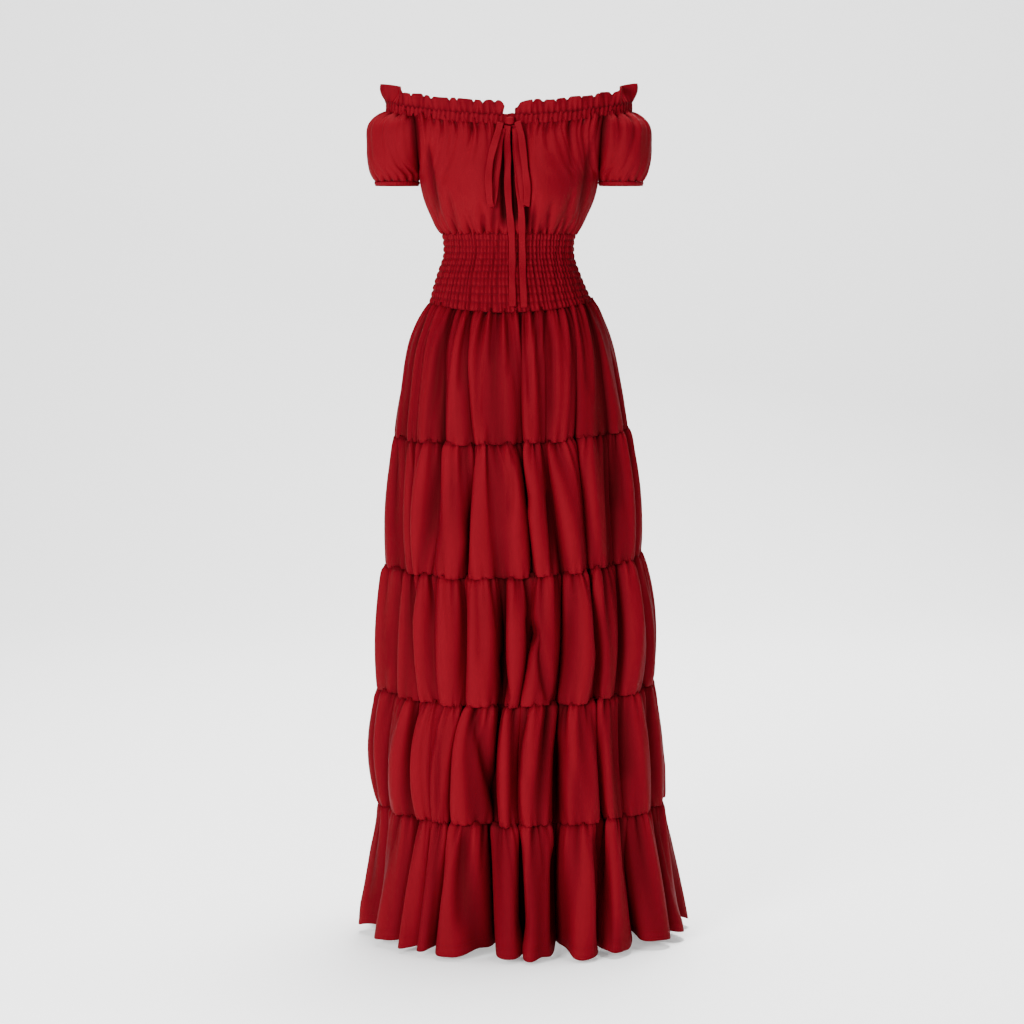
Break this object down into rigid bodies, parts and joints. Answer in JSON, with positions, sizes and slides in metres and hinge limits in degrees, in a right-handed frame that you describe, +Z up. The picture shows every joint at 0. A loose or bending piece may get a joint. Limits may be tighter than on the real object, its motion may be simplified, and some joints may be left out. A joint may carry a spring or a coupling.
{
  "type": "peasant maxi dress",
  "caption": "Hollow off-the-shoulder peasant dress with a frilled neck, front tie, puff sleeves, shirred waist and a gathered tiered skirt, held as if worn.",
  "frame": {"origin": "centre of the narrowest ring of the shirred waist, where the dress is held on its wearer", "axes": "+Z up from the hem to the neck, -Y out of the front of the dress, +X to the wearer's left"},
  "size_m": [0.533, 0.4227, 1.3718],
  "materials": {
    "wine_red_cloth": "soft plain weave, low sheen",
    "wine_red_tie": "self fabric, pressed flat"
  },
  "bodies": {
    "root": {"bodice_front": "wine_red_cloth", "bodice_back": "wine_red_cloth", "sleeve_left": "wine_red_cloth", "sleeve_right": "wine_red_cloth", "cuff_left": "wine_red_cloth", "cuff_right": "wine_red_cloth", "neck_casing": "wine_red_cloth", "neck_ruffle": "wine_red_cloth", "shirring_front": "wine_red_cloth", "shirring_back": "wine_red_cloth", "tier_1_front": "wine_red_cloth", "tier_1_back": "wine_red_cloth", "tier_2_front": "wine_red_cloth", "tier_2_back": "wine_red_cloth", "tier_3_front": "wine_red_cloth", "tier_3_back": "wine_red_cloth", "tier_4_front": "wine_red_cloth", "tier_4_back": "wine_red_cloth", "tier_5_front": "wine_red_cloth", "tier_5_back": "wine_red_cloth", "tie_knot": "wine_red_tie", "tie_tail_left": "wine_red_tie", "tie_tail_right": "wine_red_tie", "tie_loop_left": "wine_red_tie", "tie_loop_right": "wine_red_tie"}
  },
  "joints": []
}
